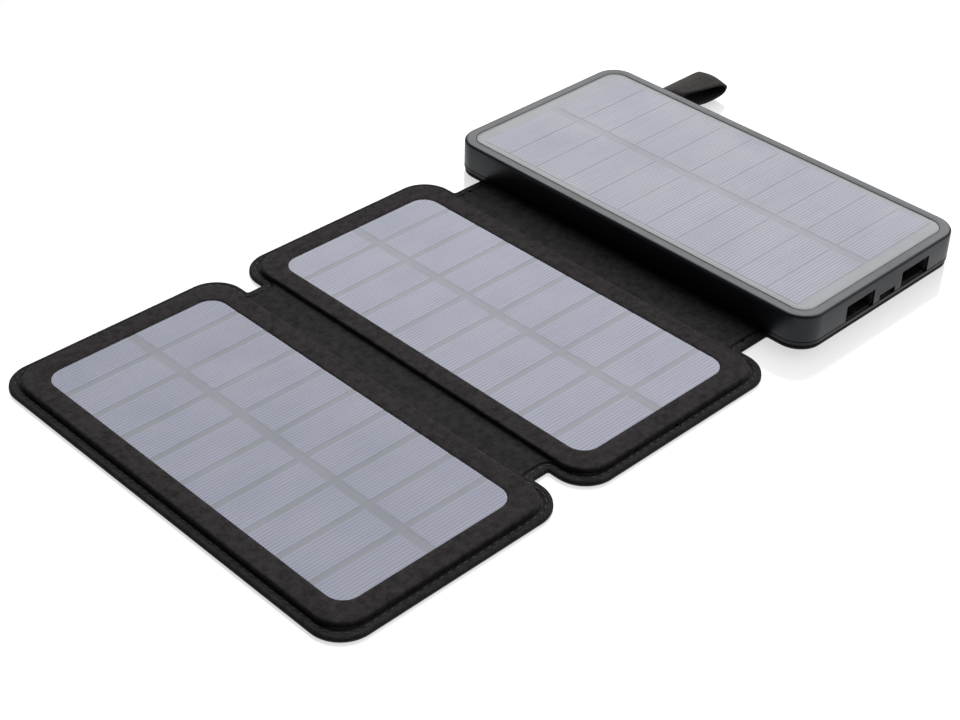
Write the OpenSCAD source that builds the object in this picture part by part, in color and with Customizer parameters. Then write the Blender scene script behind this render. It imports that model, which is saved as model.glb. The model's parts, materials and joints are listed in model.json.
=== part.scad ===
// Folding solar phone charger: two fabric-framed solar panels and a power bank with its own
// solar panel, joined by one sewn cover that folds at two spines.
// Millimetres. The origin is the centre of the power bank's footprint on the ground:
// +X runs from the folding panels towards the power bank's strap, the sockets face -Y, +Z is up.

/* [Folding panels] */
// Width of the window in each folding panel
window_w = 59; // [50:1:64]
// Length of the window in each folding panel
window_l = 125; // [110:1:128]
// Corner radius of the window
window_r = 5.5; // [3:0.5:8]
// Width of the fabric border round the window
pad_border = 6.8; // [6:0.1:7.5]
// Corner radius of the raised pad
pad_r = 9; // [6:0.5:12]
// Height of the raised pad above the lining
pad_h = 1.5; // [1.3:0.1:1.6]
// Width of the sewn rim outside the pad
rim_w = 3; // [2:0.1:4]
// Corner radius of a cover section
section_r = 10; // [8:0.5:14]

/* [Cover] */
// Thickness of the outer leather
leather_t = 0.8; // [0.7:0.05:0.9]
// Thickness of the fabric lining
lining_t = 0.7; // [0.5:0.05:0.8]
// Length of the spine strips, less than a section so that the cover is notched at its ends
spine_l = 118; // [90:1:125]
// Distance between the centres of the two folding panels
panel_pitch = 84.4; // [84:0.1:90]
// Distance between the centres of the second panel and the power bank
bank_pitch = 89.9; // [89.9:0.1:91]

/* [Power bank] */
// Width of the case
case_w = 76.8; // [76:0.1:78]
// Length of the case
case_l = 144; // [142:0.5:150]
// Height of the case's top above the ground
case_top = 11.7; // [11.5:0.1:11.8]
// Corner radius of the case seen from above
case_r = 8; // [6:0.5:12]
// Radius along the case's top edge
case_edge_r = 1; // [0.5:0.1:1.5]
// Wall thickness of the case
wall = 1.6; // [1.2:0.1:1.8]
// Width of the power bank's solar panel
glass_w = 69.5; // [66:0.5:70]
// Length of the power bank's solar panel
glass_l = 137; // [130:0.5:137]
// Corner radius of the power bank's solar panel
glass_r = 5; // [3:0.5:8]

/* [Sockets] */
// Distance between neighbouring sockets
port_pitch = 13.55; // [13.5:0.05:14.5]
// Offset of the middle socket from the case's centre line
port_shift = 1.75; // [-3:0.05:3]
// Outer width of a large socket's metal shell
usb_w = 13.2; // [13:0.1:13.3]
// Outer height of a large socket's metal shell
usb_h = 5.6; // [5.3:0.1:5.7]
// Depth of a large socket's metal shell
usb_depth = 13; // [12:0.5:14]
// Outer width of the small socket's metal shell
micro_w = 7.4; // [7:0.1:7.6]
// Outer height of the small socket's metal shell
micro_h = 2; // [1.8:0.1:2.2]

/* [Strap] */
// Width of the strap loop
strap_w = 13.4; // [10:0.2:16]
// Distance from the case's centre to the strap's centre along the long side
strap_y = 50; // [30:1:52]
// How far the loop stands out from the case
strap_reach = 29; // [26:0.5:32]
// Thickness of the strap
strap_t = 0.9; // [0.8:0.1:1]

/* [Button and lights] */
// Width of the power button
button_w = 7; // [5:0.5:8]
// Height of the power button
button_h = 2.6; // [2:0.1:3]
// Diameter of a charge light's window
light_d = 1.5; // [1.2:0.1:1.6]

/* [Hidden] */
$fn = 64;

// Clearances
gap = 0.1;
fold_gap = 0.15;
overlap = 1;

// Cover heights
cover_t = leather_t + lining_t;
bead_r = cover_t / 2;
crease_z = bead_r;

// Panel sizes
pad_w = window_w + 2 * pad_border;
pad_l = window_l + 2 * pad_border;
section_w = pad_w + 2 * rim_w;
section_l = pad_l + 2 * rim_w;
pad_top = cover_t + pad_h;

// Plan positions of the panels and of the creases
b_x = -bank_pitch;
a_x = b_x - panel_pitch;
crease_c_x = -case_w / 2 - bead_r - fold_gap;
crease_b_x = b_x + pad_w / 2 + bead_r + fold_gap;
hinge_ab_x = b_x - panel_pitch / 2;
hinge_ab_half_gap = 0.05;

// Layers inside a folding panel, from the lining up
stiffener_t = 0.5;
board_t = 0.3;
cell_t = 0.15;
sheet_t = 0.15;
frame_lip_t = 0.4;
frame_wall = 0.8;
laminate_lap = 3.5;
laminate_w = window_w + 2 * laminate_lap;
laminate_l = window_l + 2 * laminate_lap;
laminate_r = 4;
stiffener_z = cover_t;
board_z = stiffener_z + stiffener_t;
cell_z = board_z + board_t;
sheet_z = cell_z + cell_t;
lip_z = pad_top - frame_lip_t;
cavity_w = pad_w - 2 * frame_wall;
cavity_l = pad_l - 2 * frame_wall;
cavity_r = pad_r - frame_wall;

// Solar cells: rows along the length, two columns across
cell_rows = 10;
cell_pitch = 12.85;
cell_gap = 2;
cell_mid_gap = 3;
cell_w = 29.8;
bank_cell_rows = 11;
bank_cell_pitch = 11.67;
bank_cell_gap = 0.5;
bank_cell_mid_gap = 3.5;
bank_cell_w = 31.2;

// Flat lead that joins the panels inside the cover
lead_w = 6;
lead_t = 0.2;
lead_y = -51;
lead_z = leather_t - lead_t;
riser_t = 0.2;
riser_slot = 0.6;
riser_inset = 12;

// Power bank case heights
adhesive_t = 0.15;
case_bottom = cover_t + adhesive_t;
floor_t = 1;
floor_top = case_bottom + floor_t;
glass_gap = 0.3;
glass_recess = 1;
recess_z = case_top - glass_recess;
roof_t = 1;
roof_z = recess_z - roof_t;
glass_board_t = 0.3;
glass_cell_t = 0.2;
glass_sheet_t = 0.4;
case_cover_inset = 0.2;
lip_t = 0.8;
lip_h = 1.2;

// Sockets
usb_wall = 0.3;
usb_z = floor_top + gap / 2 + usb_h / 2;
usb_cut_w = usb_w + 0.3;
usb_cut_h = usb_h + 0.1;
port_face = -case_l / 2;
port_setback = 0.8;
tongue_w = 11.2;
tongue_h = 1.8;
tongue_setback = 1.2;
contact_w = 1;
contact_t = 0.15;
contact_pitch = 2.5;
contact_l = 7;
micro_cut_w = micro_w + 0.3;
micro_cut_h = micro_h + 0.1;
micro_depth = 5;
micro_wall = 0.25;
micro_z = floor_top + gap / 2 + micro_h / 2;
micro_tongue_h = 0.6;

// Control board
pcb_w = 68;
pcb_l = 30;
pcb_t = 1;
pcb_z = floor_top + 2.3;
pcb_front = port_face + wall + gap;
pcb_y = pcb_front + pcb_l / 2;
pcb_top = pcb_z + pcb_t;
boss_r = 2;
boss_hole_r = 0.6;
boss_x = 30.5;
boss_y = [pcb_front + 3.3, pcb_front + pcb_l - 4];
screw_r = 0.55;
screw_head_r = 1.3;
screw_head_h = 0.7;
screw_l = 3;

// Battery
battery_w = 66;
battery_l = 104;
battery_h = 6.2;
battery_y = 16.2;
battery_r = 3;
battery_tape_t = 0.2;
battery_z = floor_top + battery_tape_t;
battery_front = battery_y - battery_l / 2;
protector_w = 34;
protector_l = 2.6;
protector_h = 4;
lead_wire_r = 0.6;
lead_wire_pitch = 6;
solar_wire_r = 0.45;
solar_wire_x = -24;

// Button and lights in the long side
button_y = -55.3;
button_z = pcb_z + 1.8;
button_travel = 0.4;
button_proud = 0.4;
button_flange = 0.7;
button_flange_t = 0.6;
button_side_gap = 0.15;
button_back_x = case_w / 2 - wall - gap - button_flange_t;
switch_l = 3;
led_count = 4;
led_pitch = 2.6;
led_first_y = -49.5;
led_l = 1.6;
guide_bar_x = case_w / 2 - wall - gap;
guide_bar_t = 1.2;
guide_bar_h = 2.4;

// Strap
strap_bead_r = 0.7;
strap_root_x = case_w / 2 + strap_bead_r + 0.2;
strap_root_z = strap_bead_r + 0.5;
strap_tab_l = 14;
strap_fold_r = 2.35;
strap_lift = 0.05;
strap_fold_x = case_w / 2 + strap_reach - strap_fold_r - strap_t / 2;
strap_fold_z = strap_lift + strap_t / 2 + strap_fold_r;
strap_steps = 14;
strap_rise = [9, 5.4];
strap_crest = [12, 2.6];

// ---------- shared shapes ----------

// Flat outline of a rectangle with round corners, centred
module rounded(w, l, r) {
    square([w - 2 * r, l], center = true);
    square([w, l - 2 * r], center = true);
    for (x = [-1, 1], y = [-1, 1])
        translate([x * (w / 2 - r), y * (l / 2 - r)]) circle(r);
}

// Plate with round corners, standing at height z
module plate(w, l, r, z, h) {
    translate([0, 0, z]) linear_extrude(h) rounded(w, l, r);
}

// Block from its lowest corner to its highest corner
module block(low, high) {
    translate(low) cube(high - low);
}

// Plate with round corners whose top edge is rounded to radius e
module soft_plate(w, l, r, z, h, e) {
    plate(w, l, r, z, h - e);
    plate(w - 2 * e, l - 2 * e, r - e, z, h);
    top = z + h - e;
    for (s = [-1, 1]) {
        translate([s * (w / 2 - e), 0, top]) rotate([90, 0, 0]) cylinder(h = l - 2 * r, r = e, center = true);
        translate([0, s * (l / 2 - e), top]) rotate([0, 90, 0]) cylinder(h = w - 2 * r, r = e, center = true);
    }
    for (x = [-1, 1], y = [-1, 1])
        translate([x * (w / 2 - r), y * (l / 2 - r), top])
            rotate_extrude() translate([r - e, 0]) circle(e);
}

// Two columns of equal cells, centred
module cell_grid(rows, pitch, row_gap, mid_gap, w, z, t) {
    first = -(rows - 1) / 2 * pitch;
    for (side = [-1, 1], row = [0 : rows - 1])
        translate([side * (mid_gap + w) / 2, first + row * pitch, z + t / 2])
            cube([w, pitch - row_gap, t], center = true);
}

// Stretch of the flat lead between two places along X
module lead_run(x0, x1) {
    block([x0, lead_y - lead_w / 2, lead_z], [x1, lead_y + lead_w / 2, lead_z + lead_t]);
}

// End of the flat lead that climbs to a board
module lead_riser(x, top) {
    block([x, lead_y - lead_w / 2, lead_z + lead_t], [x + riser_t, lead_y + lead_w / 2, top]);
}

// Slot that a riser passes through
module riser_hole(x, z0, z1) {
    block([x + riser_t / 2 - riser_slot / 2, lead_y - lead_w / 2 - gap, z0],
          [x + riser_t / 2 + riser_slot / 2, lead_y + lead_w / 2 + gap, z1]);
}

// ---------- sewn cover ----------

// Outline of panel B's part of the cover, from the spine half to the crease
module section_b_outline() {
    difference() {
        translate([b_x, 0]) rounded(section_w, section_l, section_r);
        translate([crease_b_x - bead_r - fold_gap, -spine_l / 2 - gap])
            square([rim_w + overlap, spine_l + 2 * gap]);
    }
    translate([hinge_ab_x + hinge_ab_half_gap, -spine_l / 2])
        square([panel_pitch / 2 - section_w / 2 + overlap, spine_l]);
}

module section_a_outline() {
    translate([a_x, 0]) rounded(section_w, section_l, section_r);
    right = hinge_ab_x - hinge_ab_half_gap;
    translate([a_x + section_w / 2 - overlap, -spine_l / 2])
        square([right - a_x - section_w / 2 + overlap, spine_l]);
}

module section_c_outline() {
    rounded(case_w - 2 * case_cover_inset, case_l - 2 * case_cover_inset, case_r);
    translate([-case_w / 2, -spine_l / 2]) square([overlap, spine_l]);
}

// Strip between the two creases, with a round bead on each crease
module spine_body() {
    rotate([90, 0, 0]) linear_extrude(spine_l, center = true) {
        translate([crease_b_x, 0]) square([crease_c_x - crease_b_x, cover_t]);
        for (x = [crease_b_x, crease_c_x])
            translate([x, crease_z]) circle(bead_r);
    }
}

module slab(z0, z1) {
    block([crease_b_x - overlap - bead_r, -spine_l, z0], [crease_c_x + overlap + bead_r, spine_l, z1]);
}

riser_a_x = a_x + pad_w / 2 - riser_inset;
riser_b_x = b_x + pad_w / 2 - riser_inset;
riser_c_x = -case_w / 2 + riser_inset;

module leather_a() {
    color("#242225") difference() {
        linear_extrude(leather_t) section_a_outline();
        lead_run(riser_a_x, hinge_ab_x);
    }
}

module leather_b() {
    color("#242225") difference() {
        linear_extrude(leather_t) section_b_outline();
        lead_run(hinge_ab_x, crease_b_x);
    }
}

module leather_spine() {
    color("#242225") difference() {
        intersection() {
            spine_body();
            slab(0, leather_t);
        }
        lead_run(crease_b_x, crease_c_x);
    }
}

module leather_c() {
    color("#242225") difference() {
        linear_extrude(leather_t) section_c_outline();
        lead_run(-case_w / 2 - overlap, riser_c_x + riser_t);
    }
}

module lining_a() {
    color("#393432") difference() {
        translate([0, 0, leather_t]) linear_extrude(lining_t) section_a_outline();
        riser_hole(riser_a_x, 0, cover_t + overlap);
    }
}

module lining_b() {
    color("#393432") difference() {
        translate([0, 0, leather_t]) linear_extrude(lining_t) section_b_outline();
        riser_hole(riser_b_x, 0, cover_t + overlap);
    }
}

module lining_spine() {
    color("#393432") intersection() {
        spine_body();
        slab(leather_t, cover_t + overlap);
    }
}

module lining_c() {
    color("#393432") difference() {
        translate([0, 0, leather_t]) linear_extrude(lining_t) section_c_outline();
        riser_hole(riser_c_x, 0, cover_t + overlap);
        block([case_w / 2 - strap_tab_l - gap, strap_y - strap_w / 2 - gap, 0],
              [case_w / 2 + overlap, strap_y + strap_w / 2 + gap, cover_t + overlap]);
    }
}

module lead_a() {
    color("#b07a2c") {
        lead_run(riser_a_x, hinge_ab_x - hinge_ab_half_gap);
        lead_riser(riser_a_x, board_z);
    }
}

module lead_b() {
    color("#b07a2c") {
        lead_run(hinge_ab_x + hinge_ab_half_gap, crease_b_x - bead_r - fold_gap);
        lead_riser(riser_b_x, board_z);
    }
}

module lead_spine() {
    color("#b07a2c") lead_run(crease_b_x, crease_c_x);
}

module lead_c() {
    color("#b07a2c") {
        lead_run(-case_w / 2, riser_c_x + riser_t);
        lead_riser(riser_c_x, pcb_z);
    }
}

// ---------- folding panels ----------

module stiffener(x, riser_x) {
    color("#6b6258") difference() {
        translate([x, 0, 0])
            plate(cavity_w - 2 * gap, cavity_l - 2 * gap, cavity_r - gap, stiffener_z, stiffener_t);
        riser_hole(riser_x, 0, board_z + overlap);
    }
}

module foam(x) {
    h = lip_z - board_z;
    color("#4a4a4c") translate([x, 0, 0]) difference() {
        plate(cavity_w - 2 * gap, cavity_l - 2 * gap, cavity_r - gap, board_z, h);
        plate(laminate_w + 2 * gap, laminate_l + 2 * gap, laminate_r + gap, board_z - overlap, h + 2 * overlap);
    }
}

module board(x) {
    color("#1d3a2a") translate([x, 0, 0]) plate(laminate_w, laminate_l, laminate_r, board_z, board_t);
}

module cells(x) {
    color("#39405c") translate([x, 0, 0])
        cell_grid(cell_rows, cell_pitch, cell_gap, cell_mid_gap, cell_w, cell_z, cell_t);
}

module sheet(x) {
    color("#a7abc0") translate([x, 0, 0]) plate(laminate_w, laminate_l, laminate_r, sheet_z, sheet_t);
}

// Moulded fabric cover with the window, glued down on the lining round its foot
module frame(x) {
    color("#3d3836") translate([x, 0, 0]) difference() {
        plate(pad_w, pad_l, pad_r, cover_t, pad_h);
        plate(cavity_w, cavity_l, cavity_r, cover_t - overlap, lip_z - cover_t + overlap);
        plate(window_w, window_l, window_r, cover_t, pad_h + overlap);
    }
}

// ---------- power bank case ----------

module port_cuts() {
    for (side = [-1, 1])
        block([port_shift + side * port_pitch - usb_cut_w / 2, port_face - overlap, floor_top],
              [port_shift + side * port_pitch + usb_cut_w / 2, port_face + wall + overlap, floor_top + usb_cut_h]);
    block([port_shift - micro_cut_w / 2, port_face - overlap, floor_top],
          [port_shift + micro_cut_w / 2, port_face + wall + overlap, floor_top + micro_cut_h]);
}

module button_cut() {
    grow = button_side_gap;
    block([case_w / 2 - wall - overlap, button_y - button_w / 2 - grow, button_z - button_h / 2 - grow],
          [case_w / 2 + overlap, button_y + button_w / 2 + grow, button_z + button_h / 2 + grow]);
}

module light_pins(r, x0, x1) {
    for (i = [0 : led_count - 1])
        translate([x0, led_first_y + i * led_pitch, button_z]) rotate([0, 90, 0]) cylinder(h = x1 - x0, r = r);
}

module case_lower() {
    inner_w = case_w - 2 * wall - 2 * gap;
    inner_l = case_l - 2 * wall - 2 * gap;
    color("#3f4144") difference() {
        union() {
            plate(case_w, case_l, case_r, case_bottom, floor_t);
            difference() {
                plate(inner_w, inner_l, case_r - wall - gap, floor_top, lip_h);
                plate(inner_w - 2 * lip_t, inner_l - 2 * lip_t, case_r - wall - gap - lip_t, floor_top, lip_h + overlap);
            }
            for (x = [-1, 1], y = boss_y)
                translate([x * boss_x, y, floor_top]) cylinder(h = pcb_z - floor_top, r = boss_r);
        }
        for (x = [-1, 1], y = boss_y)
            translate([x * boss_x, y, floor_top]) cylinder(h = pcb_z, r = boss_hole_r);
        block([port_shift - port_pitch - usb_cut_w, port_face - overlap, floor_top],
              [port_shift + port_pitch + usb_cut_w, port_face + wall + lip_t + 2 * gap, floor_top + lip_h + overlap]);
        riser_hole(riser_c_x, 0, floor_top + overlap);
    }
}

module case_upper() {
    color("#46484b") difference() {
        soft_plate(case_w, case_l, case_r, floor_top, case_top - floor_top, case_edge_r);
        plate(case_w - 2 * wall, case_l - 2 * wall, case_r - wall, floor_top - overlap, roof_z - floor_top + overlap);
        plate(glass_w + 2 * glass_gap, glass_l + 2 * glass_gap, glass_r + glass_gap, recess_z, glass_recess + overlap);
        port_cuts();
        button_cut();
        light_pins(light_d / 2 + 0.05, case_w / 2 - wall - overlap, case_w / 2 + overlap);
        for (s = [-1, 1])
            translate([solar_wire_x + s * 2, pcb_y, roof_z - overlap])
                cylinder(h = roof_t + 2 * overlap, r = solar_wire_r + 0.2);
    }
}

module bank_adhesive() {
    color("#d8d4c8") difference() {
        plate(case_w - 10, case_l - 10, case_r - 4, cover_t, adhesive_t);
        riser_hole(riser_c_x, 0, case_bottom + overlap);
    }
}

module bank_board() {
    color("#1d3a2a") plate(glass_w, glass_l, glass_r, recess_z, glass_board_t);
}

module bank_cells() {
    color("#39405c")
        cell_grid(bank_cell_rows, bank_cell_pitch, bank_cell_gap, bank_cell_mid_gap, bank_cell_w,
                  recess_z + glass_board_t, glass_cell_t);
}

module bank_sheet() {
    color("#b3b6c6")
        plate(glass_w, glass_l, glass_r, recess_z + glass_board_t + glass_cell_t, glass_sheet_t);
}

// ---------- inside the power bank ----------

module battery_tape() {
    color("#c9b27a") translate([0, battery_y, 0])
        plate(battery_w - 8, battery_l - 8, battery_r, floor_top, battery_tape_t);
}

module battery_cell() {
    color("#b9bcc0") translate([0, battery_y, 0]) plate(battery_w, battery_l, battery_r, battery_z, battery_h);
}

module cell_protector() {
    color("#2a5a3a")
        block([-protector_w / 2, battery_front - protector_l, battery_z + 1],
              [protector_w / 2, battery_front, battery_z + 1 + protector_h]);
}

module battery_leads() {
    back = battery_front - protector_l;
    front = pcb_front + pcb_l - 3;
    color("#a02622")
        for (s = [-1, 1])
            translate([s * lead_wire_pitch / 2, front, pcb_top + lead_wire_r])
                rotate([-90, 0, 0]) cylinder(h = back - front, r = lead_wire_r);
}

module solar_leads() {
    color("#a02622")
        for (s = [-1, 1])
            translate([solar_wire_x + s * 2, pcb_y, pcb_top])
                cylinder(h = recess_z - pcb_top, r = solar_wire_r);
}

module control_board() {
    notch = usb_depth + port_setback - wall + gap;
    color("#1f5b38") difference() {
        intersection() {
            block([-pcb_w / 2, pcb_front, pcb_z], [pcb_w / 2, pcb_front + pcb_l, pcb_top]);
            plate(case_w - 2 * wall - 2 * gap, case_l - 2 * wall - 2 * gap, case_r - wall - gap, pcb_z, pcb_t);
        }
        for (side = [-1, 1])
            block([port_shift + side * port_pitch - usb_w / 2 - gap, pcb_front - overlap, pcb_z - overlap],
                  [port_shift + side * port_pitch + usb_w / 2 + gap, pcb_front + notch, pcb_top + overlap]);
        for (x = [-1, 1], y = boss_y)
            translate([x * boss_x, y, pcb_z - overlap]) cylinder(h = pcb_t + 2 * overlap, r = screw_r + 0.15);
    }
}

module board_screws() {
    color("#a9adb2")
        for (x = [-1, 1], y = boss_y)
            translate([x * boss_x, y, pcb_top]) {
                cylinder(h = screw_head_h, r = screw_head_r);
                translate([0, 0, -screw_l]) cylinder(h = screw_l, r = screw_r);
            }
}

// Sheet-metal tube of a socket with a closed back, its mouth towards -Y
module socket_shell(x, z, w, h, depth, t) {
    y0 = port_face + port_setback;
    difference() {
        block([x - w / 2, y0, z - h / 2], [x + w / 2, y0 + depth, z + h / 2]);
        block([x - w / 2 + t, y0 - overlap, z - h / 2 + t], [x + w / 2 - t, y0 + depth - t, z + h / 2 - t]);
    }
}

function usb_x(side) = port_shift + side * port_pitch;
tongue_top = usb_z + usb_h / 2 - usb_wall - 0.5;
tongue_back = port_face + port_setback + usb_depth - usb_wall;

module usb_shell(side) {
    color("#8f9296") socket_shell(usb_x(side), usb_z, usb_w, usb_h, usb_depth, usb_wall);
}

module usb_tongue(side) {
    front = port_face + port_setback + tongue_setback;
    color("#1c1c1e") {
        block([usb_x(side) - tongue_w / 2, front, tongue_top - tongue_h], [usb_x(side) + tongue_w / 2, tongue_back, tongue_top]);
        block([usb_x(side) - usb_w / 2 + usb_wall + gap, tongue_back - 3, usb_z - usb_h / 2 + usb_wall],
              [usb_x(side) + usb_w / 2 - usb_wall - gap, tongue_back, usb_z + usb_h / 2 - usb_wall]);
    }
}

module usb_contacts(side) {
    front = port_face + port_setback + tongue_setback + 1;
    color("#d8b04a")
        for (i = [-1.5 : 1 : 1.5])
            block([usb_x(side) + i * contact_pitch - contact_w / 2, front, tongue_top - tongue_h - contact_t],
                  [usb_x(side) + i * contact_pitch + contact_w / 2, front + contact_l, tongue_top - tongue_h]);
}

module micro_usb_shell() {
    color("#8f9296") socket_shell(port_shift, micro_z, micro_w, micro_h, micro_depth, micro_wall);
}

module micro_usb_tongue() {
    y1 = port_face + port_setback + micro_depth - micro_wall;
    color("#1c1c1e") {
        block([port_shift - 2, y1 - 4, micro_z + 0.1], [port_shift + 2, y1, micro_z + 0.1 + micro_tongue_h]);
        block([port_shift - micro_w / 2 + micro_wall, y1 - 1, micro_z - micro_h / 2 + micro_wall],
              [port_shift + micro_w / 2 - micro_wall, y1, micro_z + micro_h / 2 - micro_wall]);
    }
}

module power_inductor() {
    color("#55575a") translate([27, pcb_y, 0]) plate(5, 5, 1, pcb_top, 2.8);
}

module control_chips() {
    color("#141416") {
        translate([-31, pcb_y, 0]) block([-2, -2.5, pcb_top], [2, 2.5, pcb_top + 1.2]);
        translate([port_shift, pcb_y + 2, 0]) block([-2.5, -2.5, pcb_top], [2.5, 2.5, pcb_top + 1]);
        translate([12, pcb_front + pcb_l - 3, 0]) block([-1.5, -1.5, pcb_top], [1.5, 1.5, pcb_top + 1]);
    }
}

module capacitors() {
    color("#a88d62")
        for (i = [0 : 4])
            translate([-16 + i * 2.2, pcb_front + pcb_l - 2.5, 0])
                block([-0.6, -1.2, pcb_top], [0.6, 1.2, pcb_top + 1]);
}

// ---------- button and lights ----------

module tact_switch() {
    front = button_back_x - button_travel - gap;
    color("#2b2b2d") block([pcb_w / 2 - switch_l, button_y - 2, pcb_top], [pcb_w / 2, button_y + 2, pcb_top + 2]);
    color("#dddddd") block([pcb_w / 2, button_y - 1, button_z - 0.5], [front, button_y + 1, button_z + 0.5]);
}

module power_button() {
    face = case_w / 2 + button_proud;
    grow = button_flange;
    color("#55585c") {
        block([button_back_x + button_flange_t, button_y - button_w / 2, button_z - button_h / 2],
              [face, button_y + button_w / 2, button_z + button_h / 2]);
        block([button_back_x, button_y - button_w / 2 - grow, button_z - button_h / 2 - grow],
              [button_back_x + button_flange_t, button_y + button_w / 2 + grow, button_z + button_h / 2 + grow]);
    }
}

module charge_leds() {
    color("#d9e6f5")
        for (i = [0 : led_count - 1])
            translate([pcb_w / 2 - led_l - 0.4, led_first_y + i * led_pitch, 0])
                block([0, -0.8, pcb_top], [led_l, 0.8, pcb_top + 1.4]);
}

module light_guide() {
    span = (led_count - 1) * led_pitch;
    color("#e8ecf0") {
        light_pins(light_d / 2, guide_bar_x, case_w / 2);
        block([guide_bar_x - guide_bar_t, led_first_y - 1, button_z - guide_bar_h / 2],
              [guide_bar_x, led_first_y + span + 1, button_z + guide_bar_h / 2]);
    }
}

// ---------- strap ----------

module strap_tab() {
    color("#2b2827")
        block([case_w / 2 - strap_tab_l, strap_y - strap_w / 2, leather_t],
              [case_w / 2 - case_cover_inset, strap_y + strap_w / 2, cover_t]);
}

function bezier(a, b, c, d, t) =
    pow(1 - t, 3) * a + 3 * t * pow(1 - t, 2) * b + 3 * t * t * (1 - t) * c + pow(t, 3) * d;

// Middle line of the strap in three stretches: the upper layer from the root over the crest,
// the turn at the far end, and the lower layer back along the ground to the root
strap_root = [strap_root_x, strap_root_z];
strap_fold = [strap_fold_x, strap_fold_z];
strap_fold_top = strap_fold + [0, strap_fold_r];
strap_upper = [
    for (i = [0 : strap_steps])
        bezier(strap_root, strap_root + strap_rise, strap_fold_top + strap_crest * [[-1, 0], [0, 1]],
               strap_fold_top, i / strap_steps)
];
strap_turn = [for (a = [75 : -15 : -75]) strap_fold + strap_fold_r * [cos(a), sin(a)]];
strap_lower = [
    strap_fold - [0, strap_fold_r],
    [strap_root_x + 3 * strap_bead_r, strap_fold_z - strap_fold_r],
    strap_root
];

function unit(v) = v / norm(v);
function side_of(line, i) =
    let (along = unit(line[min(i + 1, len(line) - 1)] - line[max(i - 1, 0)])) [-along[1], along[0]];

// The line's points from one index to another, moved sideways by half the strap's thickness
function beside(line, side, first, last) =
    [for (i = [first : last]) line[i] + side * strap_t / 2 * side_of(line, i)];

module strap_loop() {
    line = concat(strap_upper, strap_turn, strap_lower);
    last = len(line) - 1;
    color("#2f2b29") translate([0, strap_y, 0]) rotate([90, 0, 0]) {
        linear_extrude(strap_w, center = true) difference() {
            polygon(beside(line, 1, 0, last));
            polygon(beside(line, -1, 1, last - 1));
        }
        translate([strap_root_x, strap_root_z, 0]) cylinder(h = strap_w, r = strap_bead_r, center = true);
    }
}

// ---------- assembly ----------

leather_a();
leather_b();
leather_spine();
leather_c();
lining_a();
lining_b();
lining_spine();
lining_c();
lead_a();
lead_b();
lead_spine();
lead_c();
stiffener(a_x, riser_a_x);  // stiffener_a
foam(a_x);  // foam_a
board(a_x);  // board_a
cells(a_x);  // cells_a
sheet(a_x);  // sheet_a
frame(a_x);  // frame_a
stiffener(b_x, riser_b_x);  // stiffener_b
foam(b_x);  // foam_b
board(b_x);  // board_b
cells(b_x);  // cells_b
sheet(b_x);  // sheet_b
frame(b_x);  // frame_b
bank_adhesive();
case_lower();
case_upper();
bank_board();
bank_cells();
bank_sheet();
battery_tape();
battery_cell();
cell_protector();
battery_leads();
solar_leads();
control_board();
board_screws();
usb_shell(-1);  // usb_a1_shell
usb_tongue(-1);  // usb_a1_tongue
usb_contacts(-1);  // usb_a1_contacts
usb_shell(1);  // usb_a2_shell
usb_tongue(1);  // usb_a2_tongue
usb_contacts(1);  // usb_a2_contacts
micro_usb_shell();
micro_usb_tongue();
power_inductor();
control_chips();
capacitors();
tact_switch();
power_button();
charge_leds();
light_guide();
strap_tab();
strap_loop();
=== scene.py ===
"""Looks of a folding solar phone charger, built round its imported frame. Lengths are in metres."""

import json
import math

import bmesh
import bpy
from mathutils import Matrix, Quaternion, Vector


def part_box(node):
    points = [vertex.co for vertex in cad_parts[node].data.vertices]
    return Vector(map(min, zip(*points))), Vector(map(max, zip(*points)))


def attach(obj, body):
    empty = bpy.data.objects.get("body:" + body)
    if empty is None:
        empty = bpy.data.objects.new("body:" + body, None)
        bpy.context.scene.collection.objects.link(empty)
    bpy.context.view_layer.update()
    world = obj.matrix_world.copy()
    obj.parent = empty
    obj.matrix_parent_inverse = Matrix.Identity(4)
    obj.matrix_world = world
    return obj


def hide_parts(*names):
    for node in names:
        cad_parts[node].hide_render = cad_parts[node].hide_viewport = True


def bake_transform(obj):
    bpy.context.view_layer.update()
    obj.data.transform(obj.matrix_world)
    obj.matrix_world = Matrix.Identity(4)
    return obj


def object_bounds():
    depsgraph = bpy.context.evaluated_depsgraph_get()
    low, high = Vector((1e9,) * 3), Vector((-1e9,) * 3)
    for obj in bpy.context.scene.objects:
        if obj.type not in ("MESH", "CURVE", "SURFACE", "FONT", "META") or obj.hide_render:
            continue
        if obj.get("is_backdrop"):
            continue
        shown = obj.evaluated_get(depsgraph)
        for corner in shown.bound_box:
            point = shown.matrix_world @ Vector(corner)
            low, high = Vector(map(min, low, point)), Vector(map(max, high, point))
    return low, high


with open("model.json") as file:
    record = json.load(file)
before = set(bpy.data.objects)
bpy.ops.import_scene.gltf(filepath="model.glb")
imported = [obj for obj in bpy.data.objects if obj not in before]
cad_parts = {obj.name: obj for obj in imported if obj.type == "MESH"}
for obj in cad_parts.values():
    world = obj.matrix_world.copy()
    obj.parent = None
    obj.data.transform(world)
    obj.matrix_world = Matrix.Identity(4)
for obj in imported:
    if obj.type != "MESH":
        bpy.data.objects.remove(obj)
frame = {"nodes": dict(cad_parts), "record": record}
CAD_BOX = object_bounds()
MM = 0.001

# ---------- places and sizes, taken from the frame ----------

PAD_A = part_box("frame_a")
PAD_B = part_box("frame_b")
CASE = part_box("case_upper")
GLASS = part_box("bank_sheet")
GLASS_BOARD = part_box("bank_board")
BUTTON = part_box("power_button")
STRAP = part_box("strap_loop")
LEATHER_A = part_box("leather_a")
LEATHER_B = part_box("leather_b")
LEATHER_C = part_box("leather_c")
LEATHER_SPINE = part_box("leather_spine")

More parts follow.
